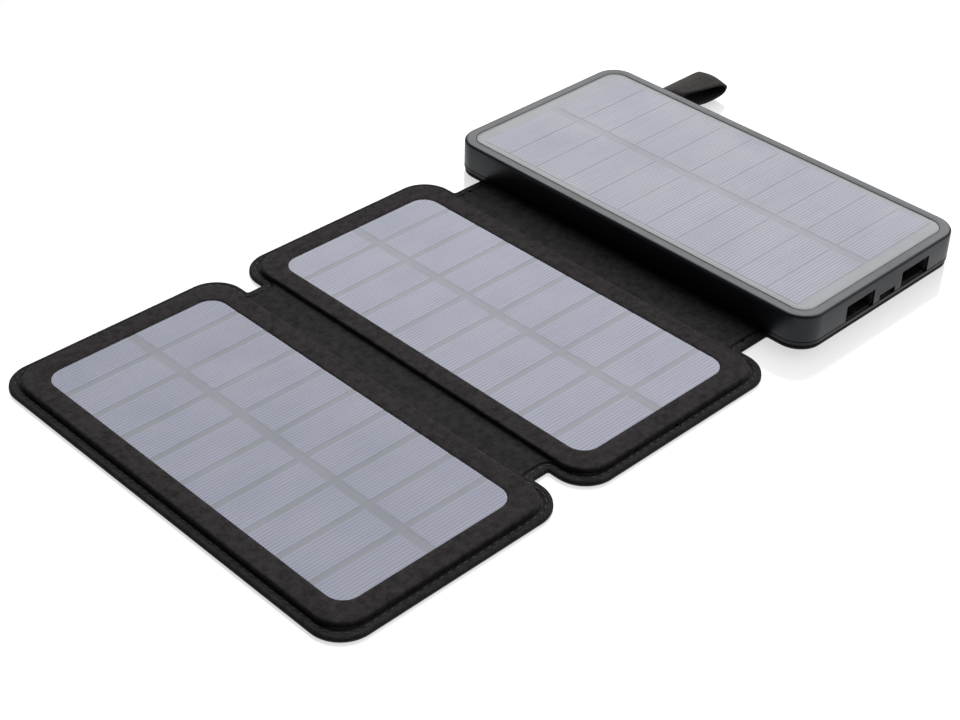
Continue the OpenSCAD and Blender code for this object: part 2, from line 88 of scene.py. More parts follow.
LEATHER_TOP = LEATHER_A[1].z
COVER_TOP = PAD_A[0].z
RIM = PAD_A[0].x - LEATHER_A[0].x
SECTION_HALF_L = LEATHER_A[1].y
SECTION_R = 10 * MM
SPINE_HALF_L = LEATHER_SPINE[1].y
NOTCH_R = 0.5 * MM
HINGE_X = (LEATHER_A[1].x + LEATHER_B[0].x) / 2
CREASE_B_X = LEATHER_SPINE[0].x + COVER_TOP / 2
CREASE_C_X = LEATHER_SPINE[1].x - COVER_TOP / 2
SPINE_MID_X = (CREASE_B_X + CREASE_C_X) / 2
A_LEFT = LEATHER_A[0].x
A_RIGHT = PAD_A[1].x + RIM
B_LEFT = PAD_B[0].x - RIM
B_RIGHT = PAD_B[1].x + RIM
B_MID = (B_LEFT + B_RIGHT) / 2
BANK_HALF_L = LEATHER_C[1].y
BANK_LEFT = LEATHER_C[0].x + 0.2 * MM
BANK_RIGHT = LEATHER_C[1].x
BANK_R = 8 * MM

PAD_R = 9 * MM
WINDOW_INSET = 6.8 * MM
WINDOW_R = 5.5 * MM

FOLD_REACH = 1.5 * MM
HINGE_REACH = 2.6 * MM
STITCH_INSET = 1.9 * MM

# ---------- meshes ----------

ARC_STEPS = 14


def arc(cx, cy, r, start, end):
    """Points along an arc, from one angle to another in degrees."""
    steps = [math.radians(start + (end - start) * i / ARC_STEPS) for i in range(ARC_STEPS + 1)]
    return [(cx + r * math.cos(a), cy + r * math.sin(a)) for a in steps]


def finish_mesh(name, verts, faces, smooth_angle=35):
    """Object made from points and faces, with outward faces and smooth shading below an angle."""
    mesh = bpy.data.meshes.new(name)
    mesh.from_pydata(verts, [], faces)
    work = bmesh.new()
    work.from_mesh(mesh)
    bmesh.ops.remove_doubles(work, verts=work.verts, dist=1e-8)
    bmesh.ops.recalc_face_normals(work, faces=work.faces)
    work.to_mesh(mesh)
    work.free()
    mesh.polygons.foreach_set("use_smooth", [True] * len(mesh.polygons))
    mesh.set_sharp_from_angle(angle=math.radians(smooth_angle))
    obj = bpy.data.objects.new(name, mesh)
    bpy.context.scene.collection.objects.link(obj)
    return obj


def loft(name, outline, profile, ring_shaped=False, centre=(0, 0), smooth_angle=35):
    """Mesh swept round an outline that is the same on both sides of a centre line.

    outline(inset) gives the half outline from left to right; profile lists (inset, height). A
    ring-shaped loft joins its last profile entry to its first, and any other gets two flat ends.
    """
    verts = []
    for inset, z in profile:
        half = outline(inset)
        upper = [(centre[0] + x, centre[1] + y, z) for x, y in half]
        lower = [(centre[0] + x, centre[1] - y, z) for x, y in reversed(half)]
        verts += upper + lower
    ring = len(verts) // len(profile)
    faces = []
    for k in range(len(profile) if ring_shaped else len(profile) - 1):
        a, b = k * ring, (k + 1) % len(profile) * ring
        for i in range(ring):
            j = (i + 1) % ring
            faces.append((a + i, b + i, b + j, a + j))
    if not ring_shaped:
        for base in (0, len(verts) - ring):
            for i in range(ring // 2 - 1):
                faces.append((base + i, base + i + 1, base + ring - 2 - i, base + ring - 1 - i))
    return finish_mesh(name, verts, faces, smooth_angle)


def plate_outline(w, l, r, end_r=None, depth=1.0):
    """Half outline of a rectangle with round corners. Its corner radius reaches end_r at that depth."""

    def outline(inset):
        x, y = w / 2 - inset, l / 2 - inset
        k = r - inset if end_r is None else r + (end_r - r) * inset / depth
        k = max(k, 0.05 * MM)
        return arc(k - x, y - k, k, 180, 90) + arc(x - k, y - k, k, 90, 0)

    return outline


def box_centre(box):
    return ((box[0].x + box[1].x) / 2, (box[0].y + box[1].y) / 2)


def boxes(name, corners):
    """One mesh of several blocks, each given by its lowest and highest corner."""
    verts, faces = [], []
    for low, high in corners:
        n = len(verts)
        verts += [(x, y, z) for z in (low[2], high[2]) for x, y in
                  ((low[0], low[1]), (high[0], low[1]), (high[0], high[1]), (low[0], high[1]))]
        faces += [(n, n + 3, n + 2, n + 1), (n + 4, n + 5, n + 6, n + 7)]
        faces += [(n + i, n + (i + 1) % 4, n + 4 + (i + 1) % 4, n + 4 + i) for i in range(4)]
    return finish_mesh(name, verts, faces)


def cut(obj, name, corners):
    """Cuts blocks out of a piece."""
    cutter = boxes(name, corners)
    modifier = obj.modifiers.new("cut", "BOOLEAN")
    modifier.object = cutter
    modifier.operation = "DIFFERENCE"
    modifier.solver = "EXACT"
    apply_modifiers(obj)
    bpy.data.objects.remove(cutter)


def apply_modifiers(obj):
    graph = bpy.context.evaluated_depsgraph_get()
    made = bpy.data.meshes.new_from_object(obj.evaluated_get(graph))
    obj.modifiers.clear()
    obj.data = made
    made.set_sharp_from_angle(angle=math.radians(30))


# ---------- materials ----------


class Surface:
    """A procedural material under construction, with patterns fixed to the object's own space."""

    def __init__(self, name, **inputs):
        self.material = bpy.data.materials.new(name)
        self.material.use_nodes = True
        self.nodes = self.material.node_tree.nodes
        self.links = self.material.node_tree.links
        self.shader = self.nodes["Principled BSDF"]
        self.coords = self.nodes.new("ShaderNodeTexCoord").outputs["Object"]
        for key, value in inputs.items():
            self.shader.inputs[key.replace("_", " ")].default_value = value

    def stretched(self, scale):
        """The object's coordinates, scaled along each axis."""
        node = self.nodes.new("ShaderNodeMapping")
        node.inputs["Scale"].default_value = scale
        self.links.new(self.coords, node.inputs["Vector"])
        return node.outputs["Vector"]

    def noise(self, scale, detail=4.0, roughness=0.55, coords=None):
        node = self.nodes.new("ShaderNodeTexNoise")
        node.inputs["Scale"].default_value = scale
        node.inputs["Detail"].default_value = detail
        node.inputs["Roughness"].default_value = roughness
        self.links.new(coords or self.coords, node.inputs["Vector"])
        return node.outputs["Fac"]

    def grain(self, scale):
        """Distance to the edges of small cells, as in leather."""
        node = self.nodes.new("ShaderNodeTexVoronoi")
        node.feature = "DISTANCE_TO_EDGE"
        node.inputs["Scale"].default_value = scale
        self.links.new(self.coords, node.inputs["Vector"])
        return node.outputs["Distance"]

    def spread(self, value, low, high, start=0.3, end=0.7):
        """A pattern mapped to a range of values."""
        node = self.nodes.new("ShaderNodeMapRange")
        node.inputs["From Min"].default_value = start
        node.inputs["From Max"].default_value = end
        node.inputs["To Min"].default_value = low
        node.inputs["To Max"].default_value = high
        self.links.new(value, node.inputs["Value"])
        return node.outputs["Result"]

    def colour(self, pattern, dark, light, start=0.3, end=0.7):
        """Base colour that moves between two tones with a pattern."""
        node = self.nodes.new("ShaderNodeValToRGB")
        node.color_ramp.elements[0].position = start
        node.color_ramp.elements[1].position = end
        node.color_ramp.elements[0].color = (*dark, 1)
        node.color_ramp.elements[1].color = (*light, 1)
        self.links.new(pattern, node.inputs["Fac"])
        self.links.new(node.outputs["Color"], self.shader.inputs["Base Color"])

    def added(self, a, b, share):
        """Pattern a with a share of pattern b added."""
        node = self.nodes.new("ShaderNodeMath")
        node.operation = "MULTIPLY_ADD"
        node.inputs[1].default_value = share
        self.links.new(b, node.inputs[0])
        self.links.new(a, node.inputs[2])
        return node.outputs["Value"]

    def bump(self, height, depth, strength=1.0):
        node = self.nodes.new("ShaderNodeBump")
        node.inputs["Strength"].default_value = strength
        node.inputs["Distance"].default_value = depth
        self.links.new(height, node.inputs["Height"])
        self.links.new(node.outputs["Normal"], self.shader.inputs["Normal"])

    def roughness(self, pattern, low, high):
        self.links.new(self.spread(pattern, low, high), self.shader.inputs["Roughness"])


def shade(colour, factor):
    return tuple(min(1.0, c * factor) for c in colour)


def microfibre(name, colour, contrast=0.55, sheen=0.12):
    """Short brushed fibre: fine pile, soft patches where the nap lies another way."""
    s = Surface(name, Sheen_Weight=sheen, Sheen_Roughness=0.3, Specular_IOR_Level=0.12)
    pile = s.noise(1500, 3, 0.7)
    patches = s.noise(450, 4, 0.65)
    tones = shade(colour, 1 - contrast), shade(colour, 1 + contrast)
    s.colour(s.added(patches, pile, 0.7), *tones, 0.62, 1.08)
    s.roughness(pile, 0.85, 1.0)
    s.bump(s.added(s.noise(700, 4), pile, 0.6), 0.14 * MM, 0.8)
    return s.material


def leather(name, colour):
    """Synthetic leather with a fine pebble grain and shallow creases."""
    s = Surface(name, Specular_IOR_Level=0.35)
    grain = s.grain(1100)
    patches = s.noise(420, 5, 0.6)
    s.colour(s.added(patches, grain, 1.5), shade(colour, 0.75), shade(colour, 1.25), 0.4, 1.0)
    s.roughness(patches, 0.52, 0.66)
    s.bump(s.added(s.spread(grain, 0, 1, 0, 0.16), s.noise(240, 4), 0.6), 0.05 * MM, 0.8)
    return s.material


def moulded(name, colour, low=0.38, high=0.5, depth=0.012 * MM, gloss=0.5):
    """Moulded plastic with a spark-eroded texture and faint handling marks."""
    s = Surface(name, Specular_IOR_Level=gloss, Specular_Tint=(0.9, 0.95, 1.0, 1))
    fine = s.noise(2400, 3)
    marks = s.noise(45, 6, 0.65)
    s.colour(s.added(marks, fine, 0.3), shade(colour, 0.9), shade(colour, 1.12), 0.4, 0.9)
    s.roughness(marks, low, high)
    s.bump(fine, depth, 0.6)
    return s.material


def metal(name, colour, low, high, along=(1, 1, 1)):
    """Metal with a drawn or plated surface."""
    s = Surface(name, Metallic=1.0)
    drawn = s.noise(900, 4, coords=s.stretched(along))
    s.colour(drawn, shade(colour, 0.82), shade(colour, 1.1))
    s.roughness(drawn, low, high)
    s.bump(drawn, 0.01 * MM, 0.5)
    return s.material


def patched(name, colour, scale, contrast, low, high, depth=0.02 * MM, **inputs):
    """Plain stuff with speckles of one size, such as foam, board, tape or ceramic."""
    s = Surface(name, **inputs)
    speckle = s.noise(scale, 5, 0.6)
    s.colour(speckle, shade(colour, 1 - contrast), shade(colour, 1 + contrast))
    s.roughness(speckle, low, high)
    s.bump(speckle, depth, 0.6)
    return s.material


def laminate(name, colour, streak=0.06, low=0.3, high=0.4):
    """Cell surface under a clear sheet: faint streaks along the fingers and a soft haze."""
    s = Surface(name, Specular_IOR_Level=0.5, Coat_Weight=0.05, Coat_Roughness=0.2)
    streaks = s.noise(330, 4, coords=s.stretched((0.12, 3.0, 1.0)))
    haze = s.noise(55, 4)
    s.colour(s.added(streaks, haze, 0.6), shade(colour, 1 - streak), shade(colour, 1 + streak), 0.6, 1.0)
    s.roughness(haze, low, high)
    s.bump(s.noise(70, 3), 0.008 * MM, 0.5)
    return s.material


SLOT_MATERIALS = {
    "cover_leather": leather("cover_leather", (0.009, 0.0086, 0.0092)),
    "cover_lining": microfibre("cover_lining", (0.0145, 0.0131, 0.0132)),
    "pad_fabric": microfibre("pad_fabric", (0.0184, 0.0162, 0.0167)),
    "strap_webbing": microfibre("strap_webbing", (0.03, 0.0265, 0.0255), 0.35),
    "foam": patched("foam", (0.07, 0.07, 0.075), 1500, 0.3, 0.85, 1.0, 0.08 * MM),
    "stiffener_board": patched("stiffener_board", (0.16, 0.13, 0.1), 420, 0.25, 0.8, 0.95),
    "flat_lead": patched("flat_lead", (0.45, 0.2, 0.05), 260, 0.12, 0.28, 0.4, Coat_Weight=0.6),
    "circuit_board": patched("circuit_board", (0.02, 0.11, 0.05), 700, 0.2, 0.3, 0.45, Coat_Weight=0.4),
    "solar_cells": laminate("solar_cells", (0.1, 0.11, 0.16)),
    "front_sheet": laminate("front_sheet", (0.124, 0.13, 0.146)),
    "case_plastic": moulded("case_plastic", (0.0045, 0.005, 0.0066), 0.34, 0.44, 0.025 * MM, 0.4),
    "button_plastic": moulded("button_plastic", (0.02, 0.021, 0.024)),
    "tape": patched("tape", (0.62, 0.58, 0.48), 300, 0.1, 0.5, 0.7),
    "battery_foil": metal("battery_foil", (0.62, 0.63, 0.65), 0.3, 0.45, (1, 0.1, 1)),
    "wire": patched("wire", (0.4, 0.02, 0.015), 900, 0.12, 0.4, 0.55),
    "plated_steel": metal("plated_steel", (0.3, 0.31, 0.33), 0.25, 0.4, (1, 0.08, 1)),
    "contacts": metal("contacts", (0.8, 0.56, 0.2), 0.2, 0.32, (1, 0.1, 1)),
    "black_plastic": moulded("black_plastic", (0.012, 0.012, 0.013), 0.4, 0.55),
    "ferrite": patched("ferrite", (0.06, 0.06, 0.065), 1200, 0.25, 0.5, 0.7),
    "ceramic_parts": patched("ceramic_parts", (0.36, 0.26, 0.15), 900, 0.15, 0.45, 0.6),
    "light_plastic": patched("light_plastic", (0.7, 0.74, 0.78), 500, 0.05, 0.2, 0.3, Coat_Weight=0.5),
}
THREAD = patched("thread", (0.016, 0.0145, 0.0142), 4200, 0.35, 0.6, 0.75, 0.03 * MM,
                 Specular_IOR_Level=0.35)


def dress(obj, material):
    """Gives a new piece its material."""
    obj.data.materials.clear()
    obj.data.materials.append(material)


def dress_frame():
    """Puts a procedural material on every node that comes from the frame."""
    for part in frame["record"]["subparts"]:
        node = frame["nodes"][part["node"]]
        node.data.materials.clear()
        node.data.materials.append(SLOT_MATERIALS[part["material_slot"]])


# ---------- sewn cover ----------


def section_left(x, inset):
    return arc(x + SECTION_R, SECTION_HALF_L - SECTION_R, SECTION_R - inset, 180, 90)


def section_right(x, inset):
    return arc(x - SECTION_R, SECTION_HALF_L - SECTION_R, SECTION_R - inset, 90, 0)


def notch_down(x, inset):
    """Inner corner from a section's right edge down to the end of a spine."""
    return arc(x + NOTCH_R, SPINE_HALF_L + NOTCH_R, NOTCH_R + inset, 180, 270)


def notch_up(x, inset):
    """Inner corner from the end of a spine up to a section's left edge."""
    return arc(x - NOTCH_R, SPINE_HALF_L + NOTCH_R, NOTCH_R + inset, 270, 360)


def spine_end(start, end, steps, inset):
    """Points along the end of a spine, without the first and the last."""
    return [(start + (end - start) * i / steps, SPINE_HALF_L - inset) for i in range(1, steps)]


def panels_outline(inset):
    """Cover from panel A's far edge to the middle of panel B."""
    return (section_left(A_LEFT, inset) + section_right(A_RIGHT, inset) + notch_down(A_RIGHT, inset)
            + spine_end(A_RIGHT + NOTCH_R, B_LEFT - NOTCH_R, 10, inset) + notch_up(B_LEFT, inset)
            + section_left(B_LEFT, inset) + [(B_MID, SECTION_HALF_L - inset)])


def middle_outline(inset):
    """Cover from the middle of panel B to the middle of the wide spine."""
    return ([(B_MID, SECTION_HALF_L - inset)] + section_right(B_RIGHT, inset)
            + notch_down(B_RIGHT, inset) + spine_end(B_RIGHT + NOTCH_R, SPINE_MID_X, 5, inset)
            + [(SPINE_MID_X, SPINE_HALF_L - inset)])


def bank_outline(inset):
    """Cover from the middle of the wide spine to its edge under the power bank."""
    side = BANK_HALF_L - BANK_R
    return ([(SPINE_MID_X, SPINE_HALF_L - inset)]
            + spine_end(SPINE_MID_X, BANK_LEFT - NOTCH_R, 14, inset) + notch_up(BANK_LEFT, inset)
            + arc(BANK_LEFT + BANK_R, side, BANK_R - inset, 180, 90)
            + arc(BANK_RIGHT - BANK_R, side, BANK_R - inset, 90, 0))


# Cross-sections of the leather, with a dip under the seam, and of the lining, with a dip at the seam and
# a groove for the pad's foot: distance in from the cover's edge, and height in the leather or above it
SEAM_DIP = 0.16 * MM
LEATHER_PROFILE = [(inset * MM, z) for inset, z in (
    (3.4, 0), (2.4, 0), (2.1, 0.1 * MM), (STITCH_INSET / MM, SEAM_DIP), (1.6, 0.1 * MM), (1.3, 0),
    (0.5, 0), (0.15, 0.08 * MM), (0, 0.3 * MM), (0, LEATHER_TOP - 0.15 * MM), (0.1, LEATHER_TOP),
    (3.4, LEATHER_TOP))]
LINING_PROFILE = [(inset * MM, LEATHER_TOP + up * MM) for inset, up in (
    (3.4, 0), (0.3, 0), (0.12, 0.15), (0.1, 0.4), (0.3, 0.62), (0.7, 0.72), (1.15, 0.68),
    (1.5, 0.56), (STITCH_INSET / MM, 0.46), (2.2, 0.44), (2.45, 0.24), (2.8, 0.18), (3.1, 0.24),
    (3.35, 0.7), (3.6, 0.7))]

COVER_PARTS = {
    "panels": (panels_outline, ("panel_b", "panel_a"), HINGE_X, HINGE_REACH),
    "middle": (middle_outline, ("spine", "panel_b"), CREASE_B_X, FOLD_REACH),
    "bank": (bank_outline, ("base", "spine"), CREASE_C_X, FOLD_REACH),
}
COVER_NODES = {"panels": ("a",), "middle": ("b", "spine"), "bank": ("c",)}


def bend_at(obj, part):
    """Bakes a piece of the cover's placement into its mesh; the piece is not bent at its fold."""
    _, (right, left), x, reach = COVER_PARTS[part]
    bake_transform(obj)


def make_cover():
    """Leather and lining, each in three lengths."""
    for part, (outline, _, _, _) in COVER_PARTS.items():
        flat = (max(x for x, _ in outline(0)) - min(x for x, _ in outline(0)),
                2 * max(y for _, y in outline(0)))
        under = loft("cover_leather_" + part, outline, LEATHER_PROFILE)
        over = loft("cover_lining_" + part, outline, LINING_PROFILE)
        for obj, kind in ((under, "leather"), (over, "lining")):
            dress(obj, SLOT_MATERIALS["cover_" + kind])
            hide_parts(*[f"{kind}_{k}" for k in COVER_NODES[part]])
            bend_at(obj, part)


LEAD_STEP = 0.5 * MM


def make_leads():
    """Flat lead inside the cover, in lengths that end where the cover's pieces do."""
    low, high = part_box("lead_spine")
    z0, z1 = low.z, high.z
    stops = (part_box("lead_a")[0].x, B_MID, SPINE_MID_X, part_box("lead_c")[1].x)
    for (part, keys), x0, x1 in zip(COVER_NODES.items(), stops, stops[1:]):
        steps = math.ceil((x1 - x0) / LEAD_STEP)
        verts, faces = [], []
        for i in range(steps + 1):
            x = x0 + (x1 - x0) * i / steps
            verts += [(x, low.y, z0), (x, high.y, z0), (x, high.y, z1), (x, low.y, z1)]
        for i in range(steps):
            for k in range(4):
                a, b = 4 * i + k, 4 * i + (k + 1) % 4
                faces.append((a, b, b + 4, a + 4))
        faces += [(3, 2, 1, 0), (4 * steps, 4 * steps + 1, 4 * steps + 2, 4 * steps + 3)]
        obj = finish_mesh("lead_strip_" + part, verts, faces)
        dress(obj, SLOT_MATERIALS["flat_lead"])
        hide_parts(*["lead_" + key for key in keys])
        bend_at(obj, part)


# ---------- stitching ----------

STITCH_PITCH = 2.7 * MM
STITCH_LENGTH = 2.0 * MM
STITCH_TURN = 8
UPPER_STITCH_Z = LEATHER_TOP + 0.56 * MM
THREAD_R = 0.22 * MM
LOWER_STITCH_Z = SEAM_DIP + THREAD_R * 0.3
# Share of the stitch's length, share of the thread's thickness and height in millimetres
THREAD_SECTIONS = ((0.0, 0.35, -0.3), (0.12, 0.85, -0.08), (0.35, 1.0, 0.0), (0.65, 1.0, 0.0),
                   (0.88, 0.85, -0.08), (1.0, 0.35, -0.3))
THREAD_SIDES = 6


def along(path, spacing):
    """Points and directions at even spacing along a flat path."""
    left = spacing / 2
    for (x0, y0), (x1, y1) in zip(path, path[1:]):
        length = math.hypot(x1 - x0, y1 - y0)
        while left < length:
            t = left / length
            yield x0 + (x1 - x0) * t, y0 + (y1 - y0) * t, (x1 - x0) / length, (y1 - y0) / length
            left += spacing
        left -= length


def add_stitch(verts, faces, x, y, dx, dy, z, up):
    """One thread that comes up out of the cover and goes down into it, turned a little."""
    turn = math.radians(STITCH_TURN)
    dx, dy = dx * math.cos(turn) - dy * math.sin(turn), dx * math.sin(turn) + dy * math.cos(turn)
    first = len(verts)
    for t, width, lift in THREAD_SECTIONS:
        off = (t - 0.5) * STITCH_LENGTH
        for k in range(THREAD_SIDES):
            a = 2 * math.pi * k / THREAD_SIDES
            side, high = THREAD_R * width * math.cos(a), THREAD_R * width * math.sin(a)
            verts.append((x + dx * off - dy * side, y + dy * off + dx * side,
                          z + up * (lift * MM + high)))
    n = THREAD_SIDES
    for s in range(len(THREAD_SECTIONS) - 1):
        for k in range(n):
            a, b = first + s * n, first + (s + 1) * n
            faces.append((a + k, a + (k + 1) % n, b + (k + 1) % n, b + k))
    faces.append(tuple(first + k for k in range(n)))
    last = first + (len(THREAD_SECTIONS) - 1) * n
    faces.append(tuple(last + n - 1 - k for k in range(n)))


def stitch_paths(part):
    """The seam's path on one piece of the cover. The far panel's seam goes round its end in one run."""
    upper = COVER_PARTS[part][0](STITCH_INSET)
    if part == "bank":
        upper = [p for p in upper if p[0] < CASE[0].x]
    lower = [(x, -y) for x, y in upper]
    if part == "panels":
        return [list(reversed(upper)) + lower]
    return [upper, lower]


def make_stitching():
    """The seam's threads above and below the cover, one mesh for each length of it."""
    for part in COVER_PARTS:
        verts, faces = [], []
        for path in stitch_paths(part):
            for x, y, dx, dy in along(path, STITCH_PITCH):
                add_stitch(verts, faces, x, y, dx, dy, UPPER_STITCH_Z, 1)
                add_stitch(verts, faces, x, y, dx, dy, LOWER_STITCH_Z, -1)
        obj = finish_mesh("stitching_" + part, verts, faces, smooth_angle=60)
        dress(obj, THREAD)
        bend_at(obj, part)


# ---------- folding panels ----------

# Cross-section of a padded frame: distance in from its outer edge, and height above the lining
PAD_PROFILE = (
    (0.35, -0.32), (0.08, -0.25), (0.0, 0.1), (0.0, 0.8), (0.04, 1.08), (0.14, 1.29), (0.31, 1.42),
    (0.55, 1.48), (1.0, 1.5), (4.4, 1.5), (5.8, 1.46), (6.35, 1.39), (6.65, 1.26), (6.8, 1.1),
    (5.2, 1.02), (1.4, 0.9), (0.9, 0))
# How far the layers under the window reach beyond its edge
FIELD_MARGIN = 1.5 * MM

CELL_ROWS = 10
CELL_PITCH = 12.85 * MM
CELL_W = 29.8 * MM
CELL_GAP = 2 * MM
CELL_MID_GAP = 3 * MM
BANK_CELL_ROWS = 11
BANK_CELL_PITCH = 11.67 * MM
BANK_CELL_W = 31.2 * MM
BANK_CELL_GAP = 0.7 * MM
BANK_CELL_MID_GAP = 2.8 * MM
LAYER = 0.015 * MM
FINGERS_PER_CELL = 10
FINGER_W = 0.42 * MM
FINGER_INSET = 0.4 * MM


def cell_blocks(centre, rows, pitch, w, gap, mid_gap, z):
    """Blocks of two columns of cells."""
    blocks = []
    for side in (-1, 1):
        x = centre[0] + side * (mid_gap + w) / 2
        for row in range(rows):
            y = centre[1] + (row - (rows - 1) / 2) * pitch
            half = (pitch - gap) / 2
            blocks.append(((x - w / 2, y - half, z), (x + w / 2, y + half, z + LAYER)))
    return blocks


def clipped(blocks, low, high):
    """The blocks' parts that lie inside a rectangle."""
    return [((max(a[0], low[0]), max(a[1], low[1]), a[2]),
             (min(b[0], high[0]), min(b[1], high[1]), b[2])) for a, b in blocks]


def finger_blocks(cells):
    """Printed fingers on each cell, thin lines across the panel."""
    blocks = []
    for low, high in cells:
        step = (high[1] - low[1]) / FINGERS_PER_CELL
        for i in range(FINGERS_PER_CELL):
            y = low[1] + (i + 0.5) * step
            blocks.append(((low[0] + FINGER_INSET, y - FINGER_W / 2, high[2] - LAYER / 2),
                           (high[0] - FINGER_INSET, y + FINGER_W / 2, high[2] + LAYER / 2)))
    return blocks


# The cells' own lavender-grey tone, with painted shade and light added: panel a is painted darker and
# panel b and the bank lighter, standing in for the view angle that brightens the panels towards the bank
CELL_TONES_WITH_PAINTED_SHADE = {
    "a": (0.087, 0.094, 0.144),
    "b": (0.106, 0.113, 0.167),
    "bank": (0.109, 0.118, 0.16),
}
# The ground's tone as a share of the cells' tone, in red, green and blue
GROUND_SHARES = {"a": (0.8, 0.84, 0.75), "b": (0.82, 0.86, 0.77), "bank": (0.92, 0.95, 0.88)}
FINGER_SHARE = 1.5
# Width of the band round each cell whose tone lies between the cell's and the ground's
HALO = 0.3 * MM


def cell_field(key, body, centre, low_corner, high_corner, rows, pitch, w, gap, mid_gap, z):
    """Ground, cells and fingers of one solar panel, in thin layers on its laminate."""
    tone = CELL_TONES_WITH_PAINTED_SHADE[key]
    ground_tone = tuple(c * share for c, share in zip(tone, GROUND_SHARES[key]))
    ground = boxes("cell_ground_" + key, [((*low_corner, z), (*high_corner, z + LAYER))])
    halo = boxes("cell_halo_" + key, clipped(
        cell_blocks(centre, rows, pitch, w + 2 * HALO, gap - 2 * HALO, mid_gap - 2 * HALO, z + LAYER),
        low_corner, high_corner))
    halo_tone = tuple((c + g) / 2 for c, g in zip(tone, ground_tone))
    inside = clipped(cell_blocks(centre, rows, pitch, w, gap, mid_gap, z + 2 * LAYER),
                     low_corner, high_corner)
    cells = boxes("cell_faces_" + key, inside)
    fingers = boxes("cell_fingers_" + key, finger_blocks(inside))
    dress(ground, laminate("cell_ground_" + key, ground_tone))
    dress(halo, laminate("cell_halo_" + key, halo_tone))
    dress(cells, laminate("cell_faces_" + key, tone, 0.1))
    dress(fingers, laminate("cell_fingers_" + key, shade(tone, FINGER_SHARE), 0.05))
    for obj in (ground, halo, cells, fingers):
        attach(obj, body)


def make_panel(key):
    """Padded frame and laminate of one folding panel."""
    body, pad_box, sheet_box = "panel_" + key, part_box("frame_" + key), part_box("sheet_" + key)
    w, l = pad_box[1].x - pad_box[0].x, pad_box[1].y - pad_box[0].y
    centre = box_centre(pad_box)
    profile = [(i * MM, COVER_TOP + z * MM) for i, z in PAD_PROFILE]
    outline = plate_outline(w, l, PAD_R, WINDOW_R, WINDOW_INSET)
    pad = loft("pad_" + key, outline, profile, True, centre, 50)
    dress(pad, SLOT_MATERIALS["pad_fabric"])
    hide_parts("frame_" + key)
    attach(pad, body)
    half_w = w / 2 - WINDOW_INSET + FIELD_MARGIN
    half_l = l / 2 - WINDOW_INSET + FIELD_MARGIN
    cell_field(key, body, centre, (centre[0] - half_w, -half_l), (centre[0] + half_w, half_l),
               CELL_ROWS, CELL_PITCH, CELL_W, CELL_GAP, CELL_MID_GAP, sheet_box[1].z)


# ---------- power bank ----------

CASE_EDGE = 1.0 * MM
CASE_EDGE_STEP = 10
GLASS_R = 5 * MM
GLASS_GAP = 0.2 * MM
RECESS_INSET = (CASE[1].x - CASE[0].x - (GLASS[1].x - GLASS[0].x)) / 2 - GLASS_GAP
RECESS_R = 5.3 * MM
RECESS_LEDGE = 3 * MM
CASE_WALL = 1.6 * MM
ROOF_Z = GLASS_BOARD[0].z - 1.0 * MM
# Room left round what shows through the walls
OPENING_ROOM = 0.15 * MM
BUTTON_FLANGE = 0.7 * MM
BUTTON_FLANGE_T = 0.6 * MM
BUTTON_R = 1.2 * MM
LED_R = 0.8 * MM
LED_PITCH = 2.6 * MM
LED_COUNT = 4


def case_profile():
    """Section of the upper case, from the floor of the glass recess over the rim to the inner roof."""
    top, bottom, floor = CASE[1].z, CASE[0].z, GLASS_BOARD[0].z
    lip = 0.25 * MM
    points = [(RECESS_INSET + RECESS_LEDGE, floor), (RECESS_INSET, floor), (RECESS_INSET, top - lip),
              (RECESS_INSET - 0.07 * MM, top - 0.07 * MM), (RECESS_INSET - lip, top)]
    for degrees in range(90, -1, -CASE_EDGE_STEP):
        a = math.radians(degrees)
        points.append((CASE_EDGE - CASE_EDGE * math.cos(a), top - CASE_EDGE + CASE_EDGE * math.sin(a)))
    points += [(0, bottom + 0.4 * MM), (0.1 * MM, bottom + 0.12 * MM), (0.28 * MM, bottom + 0.02 * MM),
               (0.5 * MM, bottom), (CASE_WALL, bottom), (CASE_WALL, ROOF_Z),
               (RECESS_INSET + RECESS_LEDGE, ROOF_Z)]
    return points


def port_cuts():
    """Blocks cut out of the front wall for the sockets: each shell's outline with a little room."""
    blocks = []
    for node in ("usb_a1_shell", "usb_a2_shell", "micro_usb_shell"):
        low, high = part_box(node)
        blocks.append(((low.x - OPENING_ROOM, CASE[0].y - MM, CASE[0].z - MM),
                       (high.x + OPENING_ROOM, CASE[0].y + CASE_WALL + MM, high.z + OPENING_ROOM / 3)))
    return blocks


def side_cuts():
    """Blocks cut out of the side wall for the button and the charge lights."""
    inner, outer = CASE[1].x - CASE_WALL - MM, CASE[1].x + MM
    y, z = (BUTTON[0].y + BUTTON[1].y) / 2, (BUTTON[0].z + BUTTON[1].z) / 2
    half_w = (BUTTON[1].y - BUTTON[0].y) / 2 - BUTTON_FLANGE + OPENING_ROOM
    half_h = (BUTTON[1].z - BUTTON[0].z) / 2 - BUTTON_FLANGE + OPENING_ROOM
    blocks = [((inner, y - half_w, z - half_h), (outer, y + half_w, z + half_h))]
    for i in range(LED_COUNT):
        led_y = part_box("charge_leds")[0].y + LED_R + i * LED_PITCH
        blocks.append(((inner, led_y - LED_R, z - LED_R), (outer, led_y + LED_R, z + LED_R)))
    return blocks


def make_case():
    """Upper case with its rounded rim, glass recess and openings."""
    w, l = CASE[1].x - CASE[0].x, CASE[1].y - CASE[0].y
    outline = plate_outline(w, l, BANK_R, RECESS_R, RECESS_INSET)
    shell = loft("case_shell", outline, case_profile(), False, box_centre(CASE), 30)
    cut(shell, "port_cutter", port_cuts())
    cut(shell, "side_cutter", side_cuts())
    dress(shell, SLOT_MATERIALS["case_plastic"])
    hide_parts("case_upper")
    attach(shell, "base")


